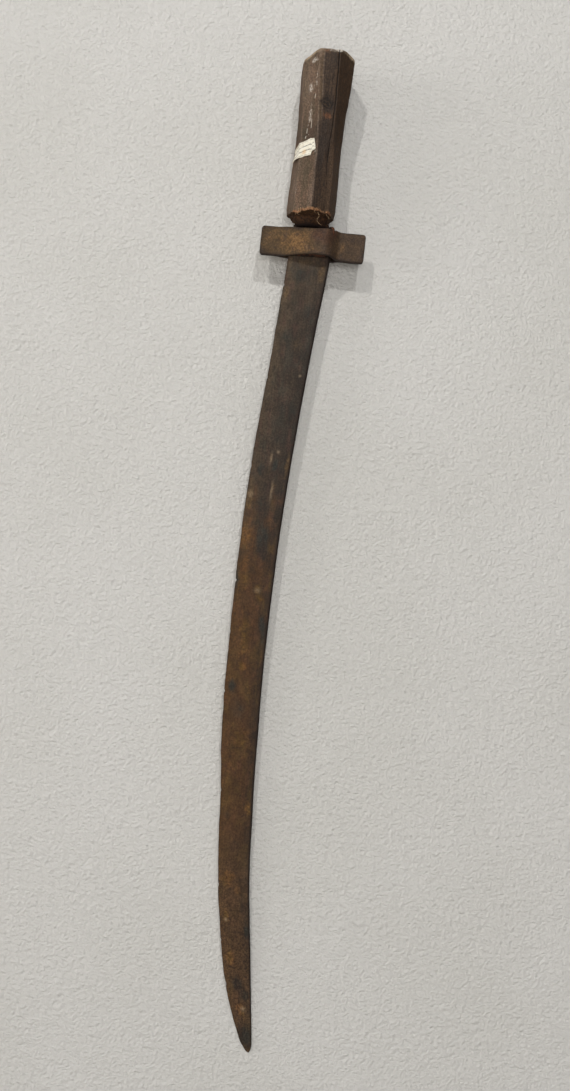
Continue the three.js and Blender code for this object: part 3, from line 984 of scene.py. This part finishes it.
def carved_radius(heights, turn, share, around, ridge):
    """Radius of the wood as it was cut and then rubbed by hands."""
    # The hand-cut facets turn a little more than the solid's.
    extra = np.radians(read(FRONT_RIDGE, share) - CAD_RIDGE_TURNS * share)
    radius = np.empty((len(heights), len(turn)))
    for i, z in enumerate(heights):
        centre = Vector((grip_axis(z), MID_Y, z))
        for j, angle in enumerate(turn - extra[i]):
            out = Vector((math.sin(angle), -math.cos(angle), 0))
            radius[i, j] = (Vector(GRIP_CAD.hit(centre + out * FAR, -out)) - centre).length
    # A narrow facet is shaved off the front ridge, running out towards the middle.
    shaved = 1 - (1 - NARROW_FACET_DEEP) * smooth(0.52, 0.74, share)
    tilt = np.cos(np.radians(np.clip(ridge - NARROW_FACET_TURN, -60, 60)))
    radius = np.minimum(radius, radius.max(1, keepdims=True) * shaved / tilt)
    rubbed = radius
    for _ in range(2):
        rubbed = (np.roll(rubbed, 1, 1) + 2 * rubbed + np.roll(rubbed, -1, 1)) / 4
    return np.where(np.abs(around) < FINE_TO - 4, rubbed, radius * 0.6 + rubbed * 0.4)


def grip_surface(heights, angles):
    """Radius of the carved wood at each height and angle, and the fields that colour it."""
    turn = np.radians(angles)
    share = ((heights - grip_low.z) / GRIP_LENGTH)[:, None]
    around = signed(angles)[None, :]
    ridge = signed(around - read(FRONT_RIDGE, share))
    radius = carved_radius(heights, turn, share, around, ridge)

    points = round_points(turn, share * GRIP_LENGTH)
    strokes = xyz(np.floor(ridge / 45.0) * 50, 0, share * GRIP_LENGTH)
    knife = noise(strokes, 13, seed=201) * 0.18 + noise(strokes, 5.5, seed=202) * 0.09
    lumps = rough(points, (5, 5, 9), seed=207) * 0.12
    lumps = lumps + noise(points, (1.6, 1.6, 2.6), seed=209) * 0.06
    grain = noise(points, (0.9, 0.9, 26), seed=203) * 0.05
    grain = grain + noise(points, (0.45, 0.45, 11), seed=204) * 0.03
    crack = distance_to_line(CRACK, share, around + noise(points, (6, 6, 5), seed=205) * 0.9)
    crack = hump(crack, 0.36 + 0.06 * smooth(0.4, 0.7, share)) * smooth(0.17, 0.36, share)
    # The wood left of the crack stands a little proud of the wood right of it.
    step = smooth(0, 3, around - read(CRACK, share)) * (1 - smooth(50, 75, around))
    step = step * smooth(0.3, 0.55, share)
    from_knot = np.hypot((share - KNOT[0]) * GRIP_LENGTH * 1.1, np.radians(around - KNOT[1]) * 14)
    from_knot = from_knot + 1.9 * noise(points, (2.6, 2.6, 3.0), seed=211)
    knot = hump(from_knot, 4.4)
    rings = np.cos(from_knot * 2 * np.pi / 2.1) * hump(from_knot, 4.6)
    radius = radius + knife + lumps + grain
    radius = radius - 0.8 * crack - 0.4 * step - 0.35 * knot + 0.12 * rings

    scratch = sum(hump(distance_to_line(line, share, around), 0.36) for line in SCRATCHES)
    scratch = scratch * smooth(-0.5, 0.2, noise(points, (0.9, 0.9, 1.6), seed=206))
    upper = smooth(0.5, 0.62, share)
    worn = hump(ridge, 1.9) + 0.7 * hump(ridge + 45.0, 2.2) + 0.9 * hump(ridge - 8.8, 1.3) * upper
    worn = worn + 0.8 * hump(ridge + 45.0, 1.5) * smooth(0.5, 0.3, share)
    rim = smooth(0.955, 0.966, share + 0.005 * noise(points, (1.2, 1.2, 2.0), seed=208))
    on_front = smooth(170, 120, around)
    fields = {
        "crack": crack,
        "scratch": np.clip(scratch, 0, 1),
        "worn": np.clip(worn, 0, 1),
        "light": patches(GRIP_LIGHT, share, around),
        "dark": patches(GRIP_DARK, share, around),
        "orange": patches(GRIP_ORANGE, share, around),
        "dust": patches(GRIP_DUST, share, around),
        "knot": knot,
        "rings": 0.5 + 0.5 * rings,
        "narrow": smooth(-3.0, -1.5, ridge) * smooth(9.5, 8.0, ridge) * upper,
        # rim: the chamfers by the pommel end, painted pale: partly fresh wood, partly painted
        # highlight from the light above.
        "rim": rim * (hump(around + 46, 22) + 0.9 * hump(around - 62, 20) + 0.12),
        "low_right": smooth(0.6, 0.25, share) * smooth(30, 45, ridge) * on_front,
        # left: the facets left of the front ridge, painted lighter: partly polished wood, partly
        # painted light from the left.
        "left": smooth(4, -8, ridge) * smooth(-175, -120, around),
        # right: the facets right of the crack, painted darker: partly dark stain, partly painted
        # shade.
        "right": smooth(30, 42, ridge) * on_front,
    }
    return radius, {key: np.broadcast_to(grid, radius.shape) for key, grid in fields.items()}


def drawn_in(ring, z, wide, deep):
    """A ring drawn in towards the grip's axis at height z."""
    centre = np.array([grip_axis(z), MID_Y, 0])
    return (ring - centre) * [wide, deep, 1] + centre


def socket_rings(rim):
    """Rings from the frayed rim in over the burnt end, and on up into the socket."""
    bottom = grip_low.z
    socket = np.array(SOCKET_HALF) / GRIP_RADIUS
    rings = []
    for part in (0.05, 0.12, 0.2, 0.3, 0.4, 0.5, 0.6, 0.7, 0.8, 0.9, 1.0):
        ring = drawn_in(rim, bottom, *(1 - part * (1 - socket)))
        torn = rough(ring, (1.3, 1.3, 90), 230) * 0.42 + noise(ring, (4, 4, 90), 231) * 0.4
        near_rim = (1 - part) ** 3
        level = bottom + 0.9 - 0.3 * part
        ring[:, 2] = ring[:, 2] * near_rim + level * (1 - near_rim) + torn * part**0.3
        rings.append(ring)
    for deep in (1.5, 4.0, 8.0, SOCKET_DEEP):
        ring = drawn_in(rim, bottom, *(socket * (1 - 0.01 * deep)))
        ring[:, 2] = bottom + deep
        rings.append(ring)
    return rings


def pommel_rings(rim):
    """Rings from the rim in over the chipped pommel end."""
    axis = grip_axis(grip_high.z)
    rings = []
    for i, (scale, rise) in enumerate(POMMEL_RINGS):
        ring = drawn_in(rim, grip_high.z, scale, scale)
        chips = rough(ring, 3.0, 280 + i) * 0.35 + noise(ring, (0.8, 3.0, 1.0), 290 + i) * 0.22
        ring[:, 2] += POMMEL_RISE * rise + chips * (1 - scale**8)
        ring[:, 2] += read(POMMEL_EDGE, ring[:, 0] - axis) - read(POMMEL_EDGE, rim[:, 0] - axis)
        rings.append(ring)
    return rings


def build_grip():
    angles = around_grip()
    turn = np.radians(angles)
    bottom = grip_low.z
    heights = np.linspace(bottom + 0.3, grip_high.z - 3.4, int(GRIP_LENGTH / GRIP_ROW))
    radius, fields = grip_surface(heights, angles)
    share = ((heights - bottom) / GRIP_LENGTH)[:, None]

    # The pommel end is cut a little out of square, and the guard end is frayed.
    out_x = np.sin(turn) * radius
    slope = read(POMMEL_EDGE, out_x) * smooth(0.82, 1.0, share)
    line = round_points(turn, 0)
    frayed = rough(line, 3.2, seed=221) * 0.55 + noise(line, 0.9, seed=222) * 0.45
    lift = (0.7 * frayed + read(TORN_RIM, signed(angles))) * (1 - smooth(0.0, 0.055, share))
    x = grip_axis(heights)[:, None] + out_x
    outer = xyz(x, MID_Y - np.cos(turn) * radius, heights[:, None] + slope + lift)
    inside, end = socket_rings(outer[0]), pommel_rings(outer[-1])
    rings = np.concatenate([inside[::-1], outer, end])

    values = {}
    for key, grid in fields.items():
        ends = grid[:1].repeat(len(inside), 0), grid[-1:].repeat(len(end), 0)
        values[key] = np.concatenate([ends[0], grid, ends[1]])
    row = np.arange(len(rings))[:, None] + 0 * rings[..., 0]
    values["inside"] = row < len(inside)
    values["end"] = row >= len(rings) - len(end)
    values["height"] = np.clip((rings[..., 2] - bottom) / GRIP_LENGTH, 0, 1)
    place(loft("grip_carved", rings, values, sharp=55), wood_material(), "grip_wood", "grip")


def wood_material():
    s = Shader("grip_wood")
    streaks = s.noise((1.6, 1.6, 30.0), detail=6.0, roughness=0.65)
    fibres = s.noise((0.5, 0.5, 9.0), detail=4.0, roughness=0.6, seed=5.0)
    blotches = s.noise((4.0, 4.0, 7.5), detail=5.0, roughness=0.6, seed=9.0)
    tints = s.noise((3.0, 3.0, 15.0), detail=4.0, roughness=0.6, seed=21.0)
    grime = s.noise(1.3, detail=5.0, roughness=0.7, seed=14.0)
    s.colour = s.mix(s.ramp(streaks, 0.35, 0.66), (57, 43, 32), (77, 59, 44))
    s.paint(s.ramp(blotches, 0.45, 0.68, 0.0, 0.6), (50, 40, 33))
    # Painted shade on the right facets, which face away from the light, over their darker stain.
    s.paint(s.times("right", 0.6), (64, 47, 32))
    s.paint(s.times("low_right", 0.55), (90, 71, 55))
    # Painted light on the left facets, which face the light, over their polished wood.
    polish_and_painted_light = s.times("left", s.ramp(blotches, 0.25, 0.6, 0.6, 1.0))
    grey = s.mix(s.ramp(tints, 0.4, 0.6), (96, 82, 64), (115, 91, 73))
    s.paint(s.times(polish_and_painted_light, 0.75), grey)
    s.paint(s.times("narrow", 0.6), (99, 78, 55))
    light = s.times("light", s.ramp(streaks, 0.25, 0.6, 0.5, 1.0), clamp=True)
    s.paint(s.times(light, 0.6), (128, 108, 92))
    dark = s.times("dark", s.ramp(grime, 0.3, 0.6, 0.5, 1.0), clamp=True)
    s.paint(s.times(dark, 0.75), (52, 43, 37))
    worn = s.times("worn", s.ramp(fibres, 0.35, 0.6, 0.2, 1.0))
    s.paint(s.times(worn, 0.55), (138, 118, 102))
    frayed = s.plus(s.times(fibres, 0.8), s.times(grime, 0.4))
    orange = s.ramp(s.plus("orange", frayed), 1.0, 1.5, 0.0, 0.85)
    frayed_light = s.mix(s.ramp("height", 0.05, 0.1), (182, 138, 98), (124, 82, 54))
    frayed_dark = s.mix(s.ramp("height", 0.05, 0.1), (110, 64, 36), (92, 57, 36))
    rusty = s.mix(s.ramp(fibres, 0.42, 0.62), frayed_dark, frayed_light)
    s.paint(orange, rusty)
    s.paint(s.ramp("knot", 0.15, 0.7, 0.0, 0.85), (36, 27, 20))
    s.paint(s.ramp("rings", 0.55, 0.8, 0.0, 0.4), (80, 62, 46))
    s.paint(s.ramp(fibres, 0.52, 0.72, 0.0, 0.45), (38, 29, 23))
    s.shade(grime, 0.72, 1.26)
    s.shade(s.noise(0.8, detail=3.0, seed=31.0), 0.78, 1.22)
    charred = s.mix(s.ramp(grime, 0.35, 0.65), (46, 31, 20), (98, 69, 45))
    s.paint(s.ramp("inside", 0.25, 0.9), charred)
    grain_end = s.mix(s.ramp(grime, 0.4, 0.62), (92, 70, 51), (150, 126, 98))
    s.paint(s.times("end", 0.7), grain_end)
    # Painted highlight on the pommel's chamfers, which face the light above, mixed with pale fresh
    # wood.
    pale = s.times("rim", s.ramp(fibres, 0.36, 0.58, 0.15, 0.9))
    s.paint(pale, (184, 164, 136))
    flecks = s.noise((0.45, 0.45, 1.6), detail=3.0, roughness=0.6, seed=17.0)
    dusty = s.times("dust", flecks)
    s.paint(s.ramp(dusty, 0.54, 0.72, 0.0, 0.85), (212, 202, 188))
    # The crack is painted near black: partly dirt in it, partly painted shade in its groove.
    s.paint(s.ramp("crack", 0.25, 0.85, 0.0, 0.92), (20, 14, 10))
    s.paint(s.ramp("scratch", 0.4, 0.9, 0.0, 0.85), (206, 196, 180))
    roughness = s.ramp(grime, 0.3, 0.7, 0.45, 0.66)
    roughness = s.plus(roughness, s.times("inside", 0.3), clamp=True)
    height = s.average(fibres, grime)
    return s.finish(roughness, height, depth=0.45, specular=0.2)


# The pitch round the tang: height above the guard's top, half width, half depth, shift right.
PITCH_LUMP = [
    (0.7, 10.8, 4.6, 2.6), (0.9, 11.6, 5.6, 2.6), (1.6, 12.2, 6.4, 2.4), (3.2, 12.2, 7.0, 1.6),
    (5.2, 12.1, 7.6, 0.7), (7.2, 12.2, 8.0, 0.0), (8.6, 12.0, 7.6, 0.0), (10.5, 11.4, 6.2, 0.0),
    (15.0, 10.6, 5.6, 0.0), (22.0, 9.2, 5.0, 0.0),
]


def pitch_material():
    s = Shader("pitch")
    grime = s.noise(1.6, detail=5.0, roughness=0.7)
    brown = s.mix(s.ramp(grime, 0.35, 0.65), (40, 27, 19), (84, 58, 39))
    # Near black low down: painted shade in the gap under the grip, over the pitch's own dark brown.
    s.colour = s.mix("low", brown, (24, 15, 12))
    return s.finish(s.ramp(grime, 0.3, 0.7, 0.7, 0.95), grime, depth=0.5, specular=0.15)


def build_pitch():
    """Burnt pitch that fills the socket's mouth and runs down the tang to the guard."""
    low, high = corners("tang_pitch")
    turn = np.radians(np.arange(0, 360, 4.0))
    right, back = np.cos(turn), np.sin(turn)
    rings = []
    for rise, half_wide, half_deep, shift in PITCH_LUMP:
        wave = xyz(right * 11, back * 7, rise)
        swell = 1 + 0.07 * rough(wave, 3.4, 300) + 0.03 * noise(wave, 1.1, 301)
        x = (low.x + high.x) / 2 + shift + right * half_wide * swell
        y = MID_Y + back * half_deep * swell
        rings.append(xyz(x, y, GUARD_TOP + rise + 0.25 * noise(wave, 2.5, 302)))
    rings = np.array(rings)
    # low: the pitch just above the guard, painted darker as shade under the grip.
    values = {"low": smooth(4.2, 2.2, rings[..., 2] - GUARD_TOP)}
    lump = loft("tang_pitch_burnt", rings, values, sharp=60)
    place(lump, pitch_material(), "pitch", "tang_pitch")


# ------------------------------------------------------------------ label and fibres

# The label's edges: degrees from the front, and height above the guard's underside.
LABEL_TOP_EDGE = [
    (-78, 73.2), (-58, 74.4), (-36, 76.4), (-23.5, 77.9), (-12.5, 78.0), (-10.5, 76.5), (-6, 71),
]
LABEL_BOTTOM_EDGE = [
    (-78, 63.8), (-57, 64.2), (-42, 64.8), (-30, 65.6), (-16.5, 66.0), (-14.5, 69.2), (-6, 70.6),
]
LABEL_LEFT, LABEL_RIGHT = -78.0, -6.0
LABEL_THICK = 0.22
LABEL_DEGREE = 0.29  # millimetres round the grip for one degree


def wood_under(z, angle):
    """The carved wood's radius under every point of the label."""
    heights = np.linspace(z.min() - 0.5, z.max() + 0.5, 24)
    angles = np.linspace(angle.min() - 2, angle.max() + 2, 70)
    base, _ = grip_surface(heights, angles)
    row = np.clip((z - heights[0]) / (heights[1] - heights[0]), 0, len(heights) - 1.001)
    column = np.clip((angle - angles[0]) / (angles[1] - angles[0]), 0, len(angles) - 1.001)
    i, j = row.astype(int), column.astype(int)
    up, on = row - i, column - j
    below = base[i, j] * (1 - on) + base[i, j + 1] * on
    above = base[i + 1, j] * (1 - on) + base[i + 1, j + 1] * on
    return below * (1 - up) + above * up


def label_material():
    s = Shader("label_paper")
    soil = s.noise(3.0, detail=5.0, roughness=0.65)
    s.colour = s.mix(s.ramp(soil, 0.45, 0.75), (238, 232, 215), (208, 195, 170))
    # Faint broken ruled lines, as on a blank stock label.
    waves = s.math("SINE", s.times("line", 2 * math.pi * 3.5))
    gaps = s.ramp(s.noise((1.6, 1.6, 9.0), detail=2.0, seed=6.0), 0.36, 0.5)
    ruled = s.times(s.ramp(waves, 0.7, 0.95, 0.0, 0.85), gaps)
    s.paint(s.times(ruled, s.ramp("rim", 0.0, 0.2, 1.0, 0.0)), (92, 86, 78))
    s.paint(s.ramp("stain", 0.3, 1.0, 0.0, 0.55), (214, 170, 112))
    s.paint(s.times("rim", 0.35), (170, 148, 116))
    return s.finish(0.85, s.noise(0.3, detail=3.0, seed=4.0), depth=0.04)


def build_label():
    """A torn paper label, glued to the grip and lifting at its free edges."""
    turns = np.linspace(LABEL_RIGHT, LABEL_LEFT, 110)
    from_right = (LABEL_RIGHT - turns) * LABEL_DEGREE
    line = xyz(from_right, 0, 0)
    top = read(LABEL_TOP_EDGE, turns) + noise(line, 0.9, 401) * 0.16 + noise(line, 3, 402) * 0.15
    bottom = read(LABEL_BOTTOM_EDGE, turns) + noise(line, 0.9, 403) * 0.16
    bottom = bottom + noise(line, 3, 404) * 0.15
    up = np.linspace(0, 1, 50)
    z = GUARD_BOTTOM + bottom[:, None] + (top - bottom)[:, None] * up
    from_right = from_right[:, None]
    around = from_right + noise(xyz(0, 0, z), 1.1, 405) * 0.12
    angle = LABEL_RIGHT - around / LABEL_DEGREE
    edge = np.minimum(np.minimum(up, 1 - up) * 10, from_right)
    lower_left = smooth(-38, -60, angle) * hump(up, 0.25)
    lifting = smooth(-0.1, 0.5, noise(xyz(around, 0, z), 4, 406))
    curl = 1.3 * lower_left + 0.5 * hump(edge, 0.8) * lifting
    inner = wood_under(z, angle) + 0.12 + curl

    def points(radii):
        turn = np.radians(angle)
        return xyz(grip_axis(z) + np.sin(turn) * radii, MID_Y - np.cos(turn) * radii, z)

    rings = np.concatenate([points(inner + LABEL_THICK), points(inner)[:, ::-1]], 1)
    height = up + 0 * z
    stain = np.hypot((from_right / from_right[-1] - 0.42) * 4, (height - 0.3) * 2)
    values = {
        "line": np.concatenate([height, height[:, ::-1]], 1),
        "rim": np.tile(hump(edge, 0.5), 2),
        "stain": np.tile(hump(stain, 0.42), 2),
    }
    label = loft("paper_label_torn", rings, values, sharp=50)
    place(label, label_material(), "label_paper", "paper_label")


RIM_RADIUS = 16.4
# Loose fibres on the burnt end: start angle, share of the rim's radius, a list of points
# (right, back, up) from there, and the fibre's radius.
FIBRES = [
    (20, 0.86, [(0.2, 0, 0.6), (1.4, -0.3, -2.0), (0.3, -0.5, -5.0), (1.6, -0.5, -7.2)], 0.17),
    (23, 0.84, [(0.6, -0.3, -6.2), (1.9, -0.6, -7.4), (3.6, -0.4, -8.4)], 0.1),
    (-48, 0.75, [(0, 0, 0.3), (0.7, -0.3, -0.5), (1.9, -0.6, -0.9)], 0.13),
    (-37, 0.97, [(0, 0, 1.6), (-0.3, -0.4, -0.6), (-0.8, -0.3, -2.7)], 0.22),
    (-32, 0.98, [(0, 0, 1.8), (0.1, -0.4, -0.4), (-0.3, -0.4, -2.9)], 0.24),
    (-27, 0.98, [(0, 0, 2.0), (0.4, -0.4, 0.2), (0.2, -0.4, -1.6)], 0.2),
    (10, 0.95, [(0, 0, 0.7), (0.3, -0.3, -0.4), (0.9, -0.5, -1.2)], 0.15),
    (48, 0.9, [(0, 0, 1.3), (0.5, -0.4, -0.1), (1.4, -0.5, -0.6)], 0.2),
    (60, 0.88, [(0, 0, 0.6), (0.6, -0.1, -0.6), (0.9, 0.2, -1.6)], 0.16),
]


def fibre_material():
    s = Shader("wood_fibre")
    shade = s.noise(1.0, detail=3.0)
    s.colour = s.mix(s.ramp(shade, 0.3, 0.7), (150, 112, 76), (186, 160, 128))
    return s.finish(0.75, shade, depth=0.05)


def build_fibres():
    material = fibre_material()
    for number, (angle, share, steps, thick) in enumerate(FIBRES, 1):
        turn = math.radians(angle)
        radius = RIM_RADIUS * share
        x = grip_axis(grip_low.z) + math.sin(turn) * radius
        start = Vector((x, MID_Y - math.cos(turn) * radius, grip_low.z))
        points = [start + Vector(step) for step in steps]
        radii = [thick * (1 - 0.75 * i / (len(steps) - 1)) for i in range(len(steps))]
        place(add_wire(f"fibre_{number}", points, radii), material, "grip_wood")


# ------------------------------------------------------------------ the scene

make_camera()
floor = make_stage()
make_lights(floor)
build_blade()
build_guard()
build_grip()
build_pitch()
build_label()
build_fibres()
bpy.context.scene.view_settings.view_transform = "Standard"
